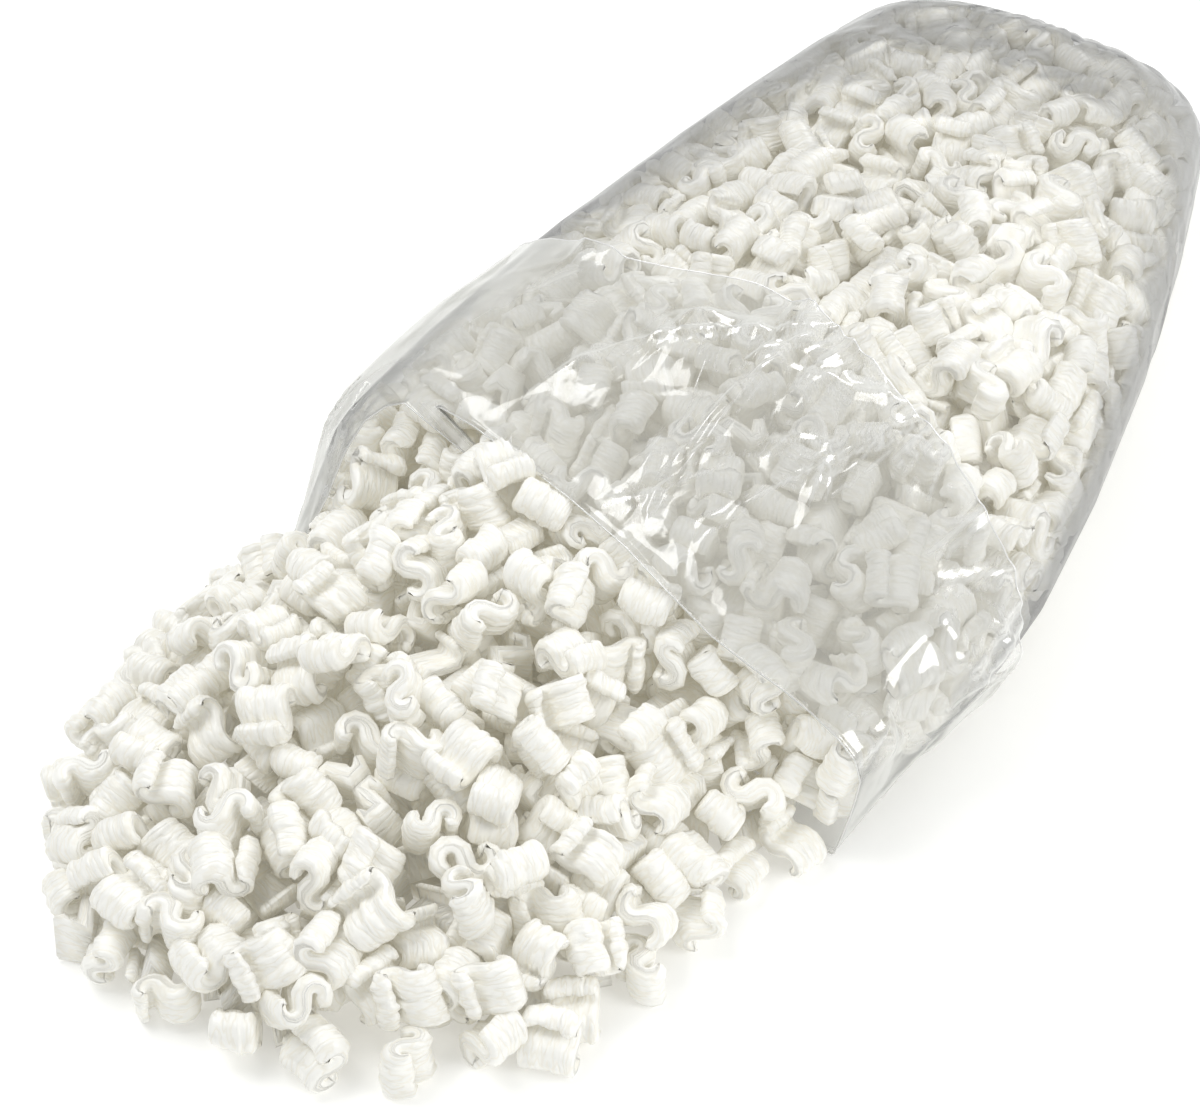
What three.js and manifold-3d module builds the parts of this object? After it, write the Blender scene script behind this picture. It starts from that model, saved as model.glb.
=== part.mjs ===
// A clear film bag of loose-fill packing peanuts. The bag lies on its side, its mouth is
// folded back into a cuff, and part of the fill has run out in front of it as a heap.
//
// Millimetres, +Z up, +Y along the bag away from its mouth. The nodes are the film bag, the
// fill that is still in it, the core of the spilled heap, and the separate peanuts that lie
// round that heap and on its slope.

import * as THREE from 'three';
import { mergeVertices } from 'three/addons/utils/BufferGeometryUtils.js';
import Module from 'manifold-3d';

// ---------------------------------------------------------------- driving dimensions

// The film. A real one is about 0.04 mm thick; this one is thick enough to be a solid.
const FILM = 1.0;
const LAYER_GAP = 1.2;
const FILL_CLEARANCE = 6;
const CUFF_RISE = LAYER_GAP + FILM;

// The bag's cross-sections: place along the bag, centre line, half width and height.
const BAG_SECTIONS = [
  { y: -100, centre: 65, half: 227, height: 150 },
  { y: 40, centre: 68, half: 228, height: 176 },
  { y: 250, centre: 55, half: 206, height: 186 },
  { y: 430, centre: 36, half: 180, height: 176 },
  { y: 560, centre: 14, half: 162, height: 150 },
  { y: 650, centre: -2, half: 148, height: 124 },
];
const ROUNDNESS = 2.6;
const WIDEST_AT = 0.42;
const SETTLE = 5;

// The closed end: the film draws in to a flat heat seal at about half its height.
const END_START = 560;
const SEAL_Y = 652;
const SEAL_DEPTH = 10;
const SEAL_HEIGHT_ABOVE_FLOOR = 66;
const SEAL_THICKNESS = 3;
const SEAL_HALF_WIDTH = 116;
const END_BLUNTNESS = 2.8;

// The mouth: a flat lower lip between two sharp corners, and an arch over the fill.
const MOUTH_Y = -149;
const MOUTH_BLEND_END = -70;
const MOUTH_ARCH = [
  [264, 0], [273, 42], [274, 78], [240, 103], [185, 122], [110, 144],
  [30, 154], [-45, 150], [-88, 122], [-130, 50], [-166, 0],
];
const NOTCH_DEPTH = 72;
const NOTCH_AT = THREE.MathUtils.degToRad(125);
const NOTCH_HALF_WIDTH = THREE.MathUtils.degToRad(55);

// The cuff's free edge runs obliquely round the bag.
const CUFF_EDGE_Y = 75;
const CUFF_EDGE_SLANT = 75;
const CUFF_EDGE_LONGEST_AT = THREE.MathUtils.degToRad(165);

// How finely the film and the fill are cut into facets.
const AROUND = 48;
const CUFF_STEPS = [0, 0.06, 0.13, 0.21, 0.32, 0.5, 0.75, 1];
const BODY_STEPS = [0.1, 0.3, 0.55, 0.8];
const FILL_RINGS = [-130, -112, -90, -60, -20, 40, 110, 200, 300, 400, 490, END_START, 590, 612, 628];
const END_STEPS = 7;

// The spilled heap: the outline of its foot, and the core that its loose peanuts lie on.
const HEAP_CENTRE = { x: 32, y: -225 };
const HEAP_HALF_WIDTH = 222;
const HEAP_REACH = 255;
const HEAP_ROUNDNESS = 2.2;
const CORE_INSET = 92;
const CORE_BACK_Y = MOUTH_Y - 5;
const CORE_EDGE_HEIGHT = 28;
const CORE_PEAK = 134;
const CORE_SLOPE = 1.7;
const CORE_AROUND = 36;
const CORE_RINGS = [0.15, 0.35, 0.55, 0.78, 1];

// One peanut: a ribbon of foam bent into an S, cut off the extruder in short lengths.
const RIBBON = 9.5;
const HOOK_RADIUS = 6.5;
const HOOK_TURN = THREE.MathUtils.degToRad(195);
const MIDDLE_LENGTH = 6;
const CUT_LENGTH = 30;
const HOOK_FACETS = 6;

// Rows of loose peanuts: on the floor by their distance in from the heap's outline, on the
// core by how far down its slope they lie, and the pitch along every row.
const FLOOR_ROWS = [22, 68];
const SLOPE_ROWS = [0.86, 0.5];
const PEANUT_PITCH = 47;
const ROW_END_Y = MOUTH_Y - 30;
const ROW_START = 0.75 * Math.PI;
const ROW_TURN = 1.5 * Math.PI;
const ROW_SAMPLES = 720;
const SLOPE_LIFT = 0.5;
const SPIN_EACH = 2.4;
const ON_END_EVERY = 3;

// ---------------------------------------------------------------- materials

const filmMaterial = new THREE.MeshStandardMaterial({
  color: 0xe9eaea, roughness: 0.12, metalness: 0, transparent: true, opacity: 0.3,
});
const foamMaterial = new THREE.MeshStandardMaterial({ color: 0xf6f3ec, roughness: 0.7, metalness: 0 });

// ---------------------------------------------------------------- small helpers

const { clamp, lerp, smoothstep } = THREE.MathUtils;

// A number raised to a power with its sign kept, as a superellipse needs.
function signedPower(value, power) {
  return Math.sign(value) * Math.abs(value) ** power;
}

// A smooth value between the bag's sections, for one of their properties.
function alongBag(y, property) {
  const last = BAG_SECTIONS.length - 1;
  const next = clamp(BAG_SECTIONS.findIndex((section) => section.y > y), 1, last);
  const index = y >= BAG_SECTIONS[last].y ? last : next;
  const pick = (i) => BAG_SECTIONS[clamp(i, 0, last)];
  const slopeAt = (i) => (pick(i + 1)[property] - pick(i - 1)[property]) / (pick(i + 1).y - pick(i - 1).y);
  const [from, to] = [pick(index - 1), pick(index)];
  const span = to.y - from.y;
  const u = clamp((y - from.y) / span, 0, 1);
  const hermite = [
    2 * u ** 3 - 3 * u ** 2 + 1, (u ** 3 - 2 * u ** 2 + u) * span,
    3 * u ** 2 - 2 * u ** 3, (u ** 3 - u ** 2) * span,
  ];
  return hermite[0] * from[property] + hermite[1] * slopeAt(index - 1)
    + hermite[2] * to[property] + hermite[3] * slopeAt(index);
}

// A closed mesh from rings of equal length, with a point closing each end.
function skinRings(startPoint, rings, endPoint) {
  const count = rings[0].length;
  const points = [startPoint, ...rings.flat(), endPoint];
  const triangles = [];
  const at = (ring, i) => 1 + ring * count + (i % count);
  for (let i = 0; i < count; i += 1) {
    triangles.push(0, at(0, i + 1), at(0, i));
    for (let ring = 0; ring + 1 < rings.length; ring += 1) {
      triangles.push(at(ring, i), at(ring, i + 1), at(ring + 1, i));
      triangles.push(at(ring, i + 1), at(ring + 1, i + 1), at(ring + 1, i));
    }
    triangles.push(points.length - 1, at(rings.length - 1, i), at(rings.length - 1, i + 1));
  }
  const geometry = new THREE.BufferGeometry();
  const positions = points.flatMap((p) => p.toArray());
  geometry.setAttribute('position', new THREE.Float32BufferAttribute(positions, 3));
  geometry.setIndex(triangles);
  return geometry;
}

// ---------------------------------------------------------------- the bag's form

const mouthArch = new THREE.SplineCurve(MOUTH_ARCH.map(([x, z]) => new THREE.Vector2(x, z)));

// The mouth's outline at an angle round the bag: the arch above, the flat lip below.
function mouthOutline(angle) {
  const [rightX] = MOUTH_ARCH[0];
  const [leftX] = MOUTH_ARCH[MOUTH_ARCH.length - 1];
  if (angle <= Math.PI) return mouthArch.getPoint(angle / Math.PI);
  return new THREE.Vector2(lerp(leftX, rightX, angle / Math.PI - 1), 0);
}

// The filled bag's outline away from its mouth: a rounded box that has settled on the floor.
function bodyOutline(y, angle) {
  const ending = clamp((y - END_START) / (SEAL_Y - END_START), 0, 1);
  const fullness = (1 - ending ** END_BLUNTNESS) ** (1 / END_BLUNTNESS);
  const height = lerp(SEAL_THICKNESS, alongBag(y, 'height'), fullness);
  const half = lerp(SEAL_HALF_WIDTH, alongBag(y, 'half'), fullness);
  const base = (SEAL_HEIGHT_ABOVE_FLOOR - SEAL_THICKNESS / 2) * (1 - fullness);
  const x = signedPower(Math.cos(angle), 2 / ROUNDNESS) * half;
  const rise = signedPower(Math.sin(angle), 2 / ROUNDNESS);
  const widest = height * WIDEST_AT;
  const z = widest + rise * (rise > 0 ? height - widest : widest);
  const settle = SETTLE * fullness;
  const settled = Math.max(z - settle, 0) * height / (height - settle);
  return new THREE.Vector2(alongBag(y, 'centre') + x, base + settled);
}

function bagOutline(y, angle) {
  const open = 1 - smoothstep(y, MOUTH_Y, MOUTH_BLEND_END);
  return bodyOutline(y, angle).lerp(mouthOutline(angle), open);
}

// A point of the bag's outer face, moved out by an offset square to its outline. Where the
// cuff lies under the bag, the whole section stands on it.
function bagPoint(y, angle, offset, rise) {
  const step = Math.PI / AROUND;
  const turn = (a) => (a + 2 * Math.PI) % (2 * Math.PI);
  const tangent = bagOutline(y, turn(angle + step)).sub(bagOutline(y, turn(angle - step))).normalize();
  const point = bagOutline(y, angle);
  return new THREE.Vector3(point.x + tangent.y * offset, y, point.y - tangent.x * offset + rise);
}

const angles = Array.from({ length: AROUND }, (_, i) => (2 * Math.PI * i) / AROUND);

// Where the folded rim stands: straight along the lower lip, notched back on its upper left.
function rimY(angle) {
  const u = clamp((angle - NOTCH_AT) / NOTCH_HALF_WIDTH, -1, 1);
  return MOUTH_Y + NOTCH_DEPTH * Math.cos((u * Math.PI) / 2) ** 2;
}

function cuffEdgeY(angle) {
  return CUFF_EDGE_Y + CUFF_EDGE_SLANT * Math.cos(angle - CUFF_EDGE_LONGEST_AT);
}

// ---------------------------------------------------------------- the film bag

function cuffRing(step, offset, forward = 0) {
  return angles.map((a) => bagPoint(lerp(rimY(a), cuffEdgeY(a), step) + forward, a, offset, CUFF_RISE));
}

function bodyRing(step, offset) {
  return angles.map((a) => bagPoint(lerp(cuffEdgeY(a), END_START, step), a, offset, 0));
}

function endRing(y, offset) {
  return angles.map((a) => bagPoint(y, a, offset, 0));
}

function endCentre(y) {
  return new THREE.Vector3(alongBag(y, 'centre'), y, SEAL_HEIGHT_ABOVE_FLOOR);
}

// The film is one sheet. Its faces are followed from the closed end along the outside, out
// under the cuff to its free edge, back over the cuff, round the folded rim and inside.
function bagFilm() {
  const fractions = Array.from({ length: END_STEPS }, (_, i) => Math.sin((i * Math.PI) / 2 / END_STEPS));
  const endYs = fractions.map((fraction) => lerp(END_START, SEAL_Y, fraction));
  const insideEnd = endYs[END_STEPS - 2];
  const inside = [
    ...endYs.slice(0, -1).reverse().map((y) => endRing(y, -FILM)),
    ...BODY_STEPS.slice().reverse().map((step) => bodyRing(step, -FILM)),
    ...CUFF_STEPS.slice().reverse().map((step) => cuffRing(step, -FILM)),
  ];
  const fold = [cuffRing(0, LAYER_GAP / 2, -(FILM + LAYER_GAP / 2))];
  const cuff = [
    ...CUFF_STEPS.map((step) => cuffRing(step, LAYER_GAP + FILM)),
    ...CUFF_STEPS.slice(1).reverse().map((step) => cuffRing(step, LAYER_GAP)),
    cuffRing(0, LAYER_GAP, FILM),
    cuffRing(0, 0, FILM),
  ];
  const outside = [
    ...CUFF_STEPS.slice(1).map((step) => cuffRing(step, 0)),
    ...BODY_STEPS.map((step) => bodyRing(step, 0)),
    ...endYs.map((y) => endRing(y, 0)),
    endRing(SEAL_Y, 0),
    endRing(SEAL_Y, 0).map((p) => p.setY(SEAL_Y + SEAL_DEPTH)),
  ];
  const rings = [...inside, ...fold, ...cuff, ...outside].reverse();
  return skinRings(endCentre(SEAL_Y + SEAL_DEPTH), rings, endCentre(insideEnd));
}

// ---------------------------------------------------------------- the fill in the bag

function looseFill() {
  const inset = -(FILM + FILL_CLEARANCE);
  const rings = FILL_RINGS.map((y) => angles.map((a) => bagPoint(y, a, inset, CUFF_RISE / 2)));
  const middle = (ring) => ring.reduce((sum, p) => sum.add(p), new THREE.Vector3()).divideScalar(AROUND);
  const ends = [rings[0], rings[rings.length - 1]].map(middle);
  return skinRings(ends[1], rings.reverse(), ends[0]);
}

// ---------------------------------------------------------------- the spilled heap

// A point of the heap's foot, drawn in by an inset, at an angle round its centre.
function heapFoot(angle, inset) {
  return new THREE.Vector3(
    HEAP_CENTRE.x + (HEAP_HALF_WIDTH - inset) * signedPower(Math.cos(angle), 2 / HEAP_ROUNDNESS),
    HEAP_CENTRE.y + (HEAP_REACH - inset) * signedPower(Math.sin(angle), 2 / HEAP_ROUNDNESS),
    0,
  );
}

const peak = new THREE.Vector3(HEAP_CENTRE.x, CORE_BACK_Y, 0);

// The core's height, falling from its peak in the mouth to the edge of its foot.
function coreHeight(fraction) {
  return CORE_EDGE_HEIGHT + (CORE_PEAK - CORE_EDGE_HEIGHT) * (1 - fraction ** CORE_SLOPE);
}

function corePoint(angle, fraction) {
  return peak.clone().lerp(heapFoot(angle, CORE_INSET), fraction).setZ(coreHeight(fraction));
}

const wasm = await Module();
wasm.setup();

function toSolid(geometry) {
  const bare = geometry.index ? geometry.toNonIndexed() : geometry.clone();
  bare.deleteAttribute('normal');
  bare.deleteAttribute('uv');
  const merged = mergeVertices(bare, 1e-4);
  return new wasm.Manifold(new wasm.Mesh({
    numProp: 3,
    vertProperties: new Float32Array(merged.attributes.position.array),
    triVerts: new Uint32Array(merged.index.array),
  }));
}

function toGeometry(solid) {
  const { vertProperties, triVerts } = solid.getMesh();
  const geometry = new THREE.BufferGeometry();
  geometry.setAttribute('position', new THREE.BufferAttribute(vertProperties, 3));
  geometry.setIndex(new THREE.BufferAttribute(triVerts, 1));
  return geometry;
}

// A dome on an upright edge, cut off flat behind, just clear of the bag's lower lip.
function spilledHeap() {
  const ringAt = (fraction) => Array.from(
    { length: CORE_AROUND },
    (_, i) => corePoint((2 * Math.PI * i) / CORE_AROUND, fraction),
  );
  const rings = CORE_RINGS.map(ringAt);
  const foot = ringAt(1).map((p) => p.setZ(0));
  const top = peak.clone().setZ(CORE_PEAK);
  const dome = skinRings(peak, [foot, ...rings.reverse()], top);
  const size = 4 * HEAP_REACH;
  const behind = new THREE.BoxGeometry(size, size, size).translate(0, CORE_BACK_Y + size / 2, 0);
  return toGeometry(toSolid(dome).subtract(toSolid(behind)));
}

// ---------------------------------------------------------------- the loose peanuts

// The S: two hooks of opposite hand on a short straight middle, with rounded tips.
function peanutProfile() {
  const along = (angle) => new THREE.Vector2(Math.cos(angle), Math.sin(angle));
  const centre = new THREE.Vector2(-HOOK_RADIUS, MIDDLE_LENGTH / 2);
  const outer = HOOK_RADIUS + RIBBON / 2;
  const inner = HOOK_RADIUS - RIBBON / 2;
  const turns = Array.from({ length: HOOK_FACETS + 1 }, (_, i) => (HOOK_TURN * i) / HOOK_FACETS);
  const outerEdge = turns.map((a) => along(a).multiplyScalar(outer).add(centre));
  const tip = along(HOOK_TURN).multiplyScalar(HOOK_RADIUS).add(centre)
    .add(along(HOOK_TURN + Math.PI / 2).multiplyScalar(RIBBON / 2));
  const innerEdge = turns.slice(1).reverse().map((a) => along(a).multiplyScalar(inner).add(centre));
  const half = [...outerEdge, tip, ...innerEdge];
  return [...half, ...half.map((p) => p.clone().negate())];
}

// A peanut's solid lying on its lowest points: on the S's broad side, or on a cut end.
function peanutGeometry(onEnd) {
  const shape = new THREE.Shape(peanutProfile());
  const geometry = new THREE.ExtrudeGeometry(shape, { depth: CUT_LENGTH, bevelEnabled: false, steps: 1 });
  geometry.translate(0, 0, -CUT_LENGTH / 2);
  geometry.rotateZ(Math.PI / 2);
  if (!onEnd) geometry.rotateX(Math.PI / 2);
  geometry.computeBoundingBox();
  geometry.translate(0, 0, -geometry.boundingBox.min.z);
  return geometry;
}

// Places at an even pitch along one row, from the bag's left corner round to its right.
function rowPlaces(pointAt) {
  const walk = Array.from({ length: ROW_SAMPLES + 1 }, (_, i) => ROW_START + (ROW_TURN * i) / ROW_SAMPLES);
  const places = [];
  walk.forEach((angle) => {
    const point = pointAt(angle);
    const last = places[places.length - 1];
    const free = !last || point.distanceTo(last.point) >= PEANUT_PITCH;
    if (point.y <= ROW_END_Y && free) places.push({ angle, point });
  });
  return places;
}

// The way the core's slope faces at an angle and a fraction of the way down it.
function slopeNormal(angle, fraction) {
  const nudge = 0.01;
  const here = corePoint(angle, fraction);
  const across = corePoint(angle + nudge, fraction).sub(here);
  const down = corePoint(angle, fraction + nudge).sub(here);
  return down.cross(across).normalize();
}

const part = new THREE.Group();
const placed = new THREE.Group();
part.add(placed);

function addNode(name, geometry, material) {
  const mesh = new THREE.Mesh(geometry, material.clone());
  mesh.name = name;
  placed.add(mesh);
  return mesh;
}

addNode('bag_film', bagFilm(), filmMaterial);
addNode('loose_fill', looseFill(), foamMaterial);
addNode('spilled_heap', spilledHeap(), foamMaterial);

const UP = new THREE.Vector3(0, 0, 1);
let made = 0;
function addPeanut(position, up) {
  made += 1;
  const name = `peanut_${String(made).padStart(2, '0')}`;
  const mesh = addNode(name, peanutGeometry(made % ON_END_EVERY === 0), foamMaterial);
  const spin = new THREE.Quaternion().setFromAxisAngle(UP, made * SPIN_EACH);
  mesh.quaternion.setFromUnitVectors(UP, up).multiply(spin);
  mesh.position.copy(position);
}

FLOOR_ROWS.forEach((inset) => {
  rowPlaces((angle) => heapFoot(angle, inset)).forEach(({ point }) => addPeanut(point, UP));
});
SLOPE_ROWS.forEach((fraction) => {
  rowPlaces((angle) => corePoint(angle, fraction)).forEach(({ angle, point }) => {
    const normal = slopeNormal(angle, fraction);
    addPeanut(point.addScaledVector(normal, SLOPE_LIFT), normal);
  });
});

// The origin is the middle of the whole object's box, on the floor.
placed.updateMatrixWorld(true);
const middle = new THREE.Box3().setFromObject(placed, true).getCenter(new THREE.Vector3());
placed.position.set(-middle.x, -middle.y, 0);

export default part;
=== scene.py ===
"""A clear film bag of S-shaped packing peanuts, with part of the fill spilled out of its mouth.

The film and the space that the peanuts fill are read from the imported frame. The peanuts are
settled in that space as rigid bodies, and the film is then laid over them.
"""
import math

import bpy
import numpy as np
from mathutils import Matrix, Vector
from mathutils.bvhtree import BVHTree
from mathutils.geometry import convex_hull_2d


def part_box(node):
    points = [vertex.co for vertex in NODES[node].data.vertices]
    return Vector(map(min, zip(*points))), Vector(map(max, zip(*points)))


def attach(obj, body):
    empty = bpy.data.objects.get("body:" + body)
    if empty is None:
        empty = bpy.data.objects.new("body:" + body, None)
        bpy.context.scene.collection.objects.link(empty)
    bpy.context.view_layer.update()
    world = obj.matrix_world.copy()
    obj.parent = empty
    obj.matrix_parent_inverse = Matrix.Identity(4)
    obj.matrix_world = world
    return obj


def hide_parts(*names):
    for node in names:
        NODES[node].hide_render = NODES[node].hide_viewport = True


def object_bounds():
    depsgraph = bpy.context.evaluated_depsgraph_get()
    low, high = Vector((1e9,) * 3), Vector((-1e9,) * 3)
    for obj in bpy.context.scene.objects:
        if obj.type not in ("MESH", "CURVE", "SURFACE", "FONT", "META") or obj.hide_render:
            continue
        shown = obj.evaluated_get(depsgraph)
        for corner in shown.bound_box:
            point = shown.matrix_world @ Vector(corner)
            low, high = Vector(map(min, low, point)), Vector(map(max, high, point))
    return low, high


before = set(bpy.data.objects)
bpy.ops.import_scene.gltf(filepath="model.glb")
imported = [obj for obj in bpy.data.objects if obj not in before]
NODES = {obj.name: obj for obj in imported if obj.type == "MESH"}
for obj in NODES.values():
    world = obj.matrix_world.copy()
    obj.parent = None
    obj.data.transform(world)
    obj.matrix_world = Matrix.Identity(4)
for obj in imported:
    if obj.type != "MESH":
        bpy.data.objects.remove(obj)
CAD_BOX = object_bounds()
RNG = np.random.default_rng(11)

# ---------------- sizes, in metres

# The peanut: a foam ribbon bent into an S and cut off in short lengths.
RIBBON = 0.0095
HOOK_RADIUS = 0.0065
HOOK_TURN = math.radians(195)
MIDDLE_LENGTH = 0.006
CUT_LENGTH = 0.030
# How its sizes vary, as shares of them, and how much it is twisted, tapered, bowed and cut askew.
HOOK_RANGE = (0.88, 1.14)
TURN_RANGE = (0.86, 1.2)
MIDDLE_RANGE = (0.7, 1.5)
LENGTH_RANGE = (0.84, 1.12)
THICKNESS_RANGE = (0.96, 1.16)
TWIST = 11
TAPER = 5
BOW = 7
SLANT = 0.16
# The ribs round it: how high the broad and the fine ones are, how they sway, and its swellings.
RIB_HEIGHT = 0.0026
FINE_RIB_HEIGHT = 0.0009
RIB_SWAY = 0.0022
SWELLING = 0.0012
# Ways that the round end of the ribbon faces, from its outer side to its inner side.
TIP_ANGLES = np.array([0.5, 0.0, -0.5]) * math.pi / 1.25

# The bag: its seal's place at the closed end, and how finely its film is divided.
SEAL_HEIGHT = 0.066
SEAL_HALF_WIDTH = 0.114
SEAL_DEPTH = 0.010
SEAL_ACROSS = 240
SEAL_ROWS = 8
CLOSING_DEPTH = 0.012
BODY_AROUND = 324
BODY_ROWS = 150
CLOSING_ROWS = 12
CUFF_AROUND = 590
CUFF_ROWS = 90

# The bag's mean radius, to turn angles round it into lengths.
MEAN_RADIUS = 0.19

# How the film lies: its gap to the fill, how far it can sink between peanuts, and the cuff's
# height over the film under it.
FILM_GAP = 0.0012
FILM_SLACK = 0.0065
CUFF_LIFT = 0.0016
CUFF_SHORTER_LEFT = 0.042
CUFF_SHORTER_RIGHT = 0.014
RIM_BEAD = 0.0006
EDGE_BEAD = 0.0005
GATHER_HEIGHT = 0.0018

# Random folds in the film: how many, and the ranges of their lengths, widths and heights.
BODY_FOLDS = (36, (0.03, 0.12), (0.006, 0.010), (0.0008, 0.0024))
CUFF_FOLDS = (34, (0.03, 0.10), (0.005, 0.009), (0.0015, 0.004))
RIGHT_FOLDS = (14, (0.05, 0.11), (0.006, 0.010), (0.002, 0.004))
# Crumples of the cuff, coarse and fine: their height, their size and a seed.
CRUMPLES = ((0.0040, 0.038, 31), (0.0024, 0.019, 41))
# The ways that most of the folds run.
ALONG_BAG = (0.1, 1, 0.1)
DOWN_RIGHT = (0.5, 0.75, -0.3)
UP_RIGHT = (0.2, 1, 0.1)

# The flap of loose film that stands out on the left, beside the mouth.
FLAP_REACH = 0.010
FLAP_AT = math.radians(158)
FLAP_WIDTH = math.radians(20)

# How cloudy the film is where it is seen square on, from 0 to 1, and the bends that cloud it:
# partly the real whitening of creased film, partly painted glints on its folds.
BODY_HAZE = 0.045
CUFF_HAZE = 0.34
EDGE_HAZE = 1.0
RIM_HAZE = 0.6
SEAL_HAZE = 0.5
SOFT_BEND = 0.00006
SHARP_BEND = 0.00035

# How the peanuts are packed, and settled on one another while they grow to their full size.
PITCH = 0.0293
BALL = 0.0078
VOXEL = 0.007
START_SIZE = 0.6
GROWTH = 0.6
GRAVITY_UNTIL = 0.7
GRAVITY_STEP = 0.00006
SETTLE_STEPS = 200
PUSHED_IN_FROM = 0.8
START_GAP = 0.023
START_INSIDE = 0.005

# The heap's crest at the mouth, its height at its toe, and how its surface falls between them.
HEAP_TOP = 0.160
HEAP_TOE = 0.046
HEAP_FALL = 1.05
HEAP_EDGE = 0.024
HEAP_SIDE_SLOPE = 0.8
HEAP_INSET = -0.004
HEAP_RIPPLE = 0.006
# Two places on the floor that the heap reaches past its CAD peanuts.
HEAP_SPREAD = [(-0.055, -0.576), (-0.188, -0.508)]

PEANUT_NODES = sorted(name for name in NODES if name.startswith("peanut_"))

# Which peanuts are seen: how deep in the fill, how far behind the rim, and how squarely the
# nearest side of their space faces the floor.
SEEN_DEPTH = 0.034
SEEN_PAST_RIM = 0.05
DEEP = 1.6 * SEEN_DEPTH
UNSEEN = 2.3 * SEEN_DEPTH
ON_FLOOR = 0.85
MOST_TRIANGLES = 180000
# The rings along a peanut and the stations along its S, finer where it is seen.
DETAIL = {
    "heap_peanuts": (20, 15),
    "bag_peanuts": (12, 12),
    "inner_peanuts": (6, 7),
    "core_peanuts": (4, 4),
}
STANDS_FOR = {
    "heap_peanuts": ("spilled_heap", *PEANUT_NODES),
    "bag_peanuts": ("loose_fill",),
}

# The materials' colours: foam on its ribs and, darker and warmer, in their creases, which is
# painted shade; foam's painted glow, which lifts its shade as light through thin foam would; and
# film from clear to cloudy, whose clear end is a dark grey that paints shade on the film where it
# is edge on.
# Then how fine the foam's small ribs are, and how much of the film is seen when it is edge on.
FOAM_COLOURS_WITH_CREASE_SHADE = ((0.0, (0.89, 0.87, 0.80)), (0.07, (0.95, 0.945, 0.915)))
FOAM_PAINTED_GLOW = (1, 0.93, 0.72, 1)
FILM_HAZE_AND_EDGE_SHADE_COLOURS = ((0.06, (0.13, 0.13, 0.13)), (0.25, (0.74, 0.74, 0.705)), (1.0, (0.97, 0.97, 0.96)))
RIB_SCALE = (60, 230, 1)
EDGE_ON_SHARE = 0.92

# The stage: the camera's place by the photograph's angle, the floor, and the lights.
LENS = 76.35
SENSOR = 36
CAMERA_TARGET = (-0.0568, -0.094, 0.0)
CAMERA_AZIMUTH = math.radians(33.7)
CAMERA_ELEVATION = math.radians(40)
CAMERA_DISTANCE = 1.7
FLOOR_SIZE = 12.0
FLOOR_DROP = 0.0004
FLOOR_COLOUR = (0.95, 0.95, 0.94, 1)
FLOOR_GLOW = (1, 1, 0.99, 1)
WORLD_COLOUR = (0.985, 1, 0.995, 1)
WORLD_STRENGTH = 0.48
MAX_BOUNCES = 7
LIGHTS = (
    ("key", (-0.9, -0.5, 1.9), (0, 0, 0), (1.4, 1.4), 20),
    ("back", (0.3, 1.9, 1.5), (0, 0.1, 0), (1.6, 0.5), 15),
    ("side", (1.6, -0.2, 1.0), (0, 0, 0), (0.9, 0.7), 10),
)


# ---------------- small helpers


def box_of(node):
    low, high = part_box(node)
    return np.array(low), np.array(high)


def mesh_arrays(obj):
    """A CAD object's vertices and triangles."""
    mesh = obj.data
    points = np.empty(len(mesh.vertices) * 3)
    mesh.vertices.foreach_get("co", points)
    mesh.calc_loop_triangles()
    corners = np.empty(len(mesh.loop_triangles) * 3, np.int32)
    mesh.loop_triangles.foreach_get("vertices", corners)
    return points.reshape(-1, 3), corners.reshape(-1, 3)


def tree_of(points, faces):
    return BVHTree.FromPolygons([tuple(p) for p in points], [tuple(f) for f in faces])


def make_mesh(name, points, faces, smooth=True, attributes=()):
    """A mesh object from arrays; faces is one array of equal polygons, or a list of such arrays."""
    groups = faces if isinstance(faces, list) else [faces]
    corners = np.concatenate([np.asarray(g, np.int32).ravel() for g in groups])
    sizes = np.concatenate([np.full(len(g), np.asarray(g).shape[1], np.int32) for g in groups])
    mesh = bpy.data.meshes.new(name)
    mesh.vertices.add(len(points))
    mesh.vertices.foreach_set("co", np.asarray(points, np.float32).ravel())
    mesh.loops.add(len(corners))
    mesh.loops.foreach_set("vertex_index", corners)
    mesh.polygons.add(len(sizes))
    starts = np.concatenate([[0], np.cumsum(sizes)[:-1]]).astype(np.int32)
    mesh.polygons.foreach_set("loop_start", starts)
    mesh.update(calc_edges=True)
    mesh.polygons.foreach_set("use_smooth", np.full(len(sizes), smooth))
    for key, kind, values in attributes:
        layer = mesh.attributes.new(key, kind, "POINT")
        layer.data.foreach_set("vector" if kind == "FLOAT_VECTOR" else "value",
                               np.asarray(values, np.float32).ravel())
    mesh.validate()
    obj = bpy.data.objects.new(name, mesh)
    bpy.context.scene.collection.objects.link(obj)
    return obj


def smoothstep(edge0, edge1, x):
    t = np.clip((x - edge0) / (edge1 - edge0), 0, 1)
    return t * t * (3 - 2 * t)


def scrambled(cell, seed):
    """A whole number for each row of whole numbers, the same each time but without a pattern."""
    key = np.full(len(cell), seed, np.int64)
    for axis in range(cell.shape[1]):
        key = (key * 73856093) ^ (cell[:, axis] * (19349663 + 83492791 * axis))
        key = (key ^ (key >> 13)) * 1274126177 & 0x7FFFFFFF
    return key


def value_noise(points, size, seed):
    """Smooth noise from -1 to 1 at points, with features of about that size."""
    flat = np.reshape(points, (-1, np.shape(points)[-1])) / size
    cell = np.floor(flat).astype(np.int64)
    local = flat - cell
    local = local * local * (3 - 2 * local)
    total = np.zeros(len(flat))
    for corner in np.ndindex(*(2,) * flat.shape[1]):
        offset = np.array(corner)
        weight = np.prod(np.where(offset, local, 1 - local), axis=1)
        total += weight * ((scrambled(cell + offset, seed) & 0xFFFF) / 0x7FFF - 1)
    return total.reshape(np.shape(points)[:-1])


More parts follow.
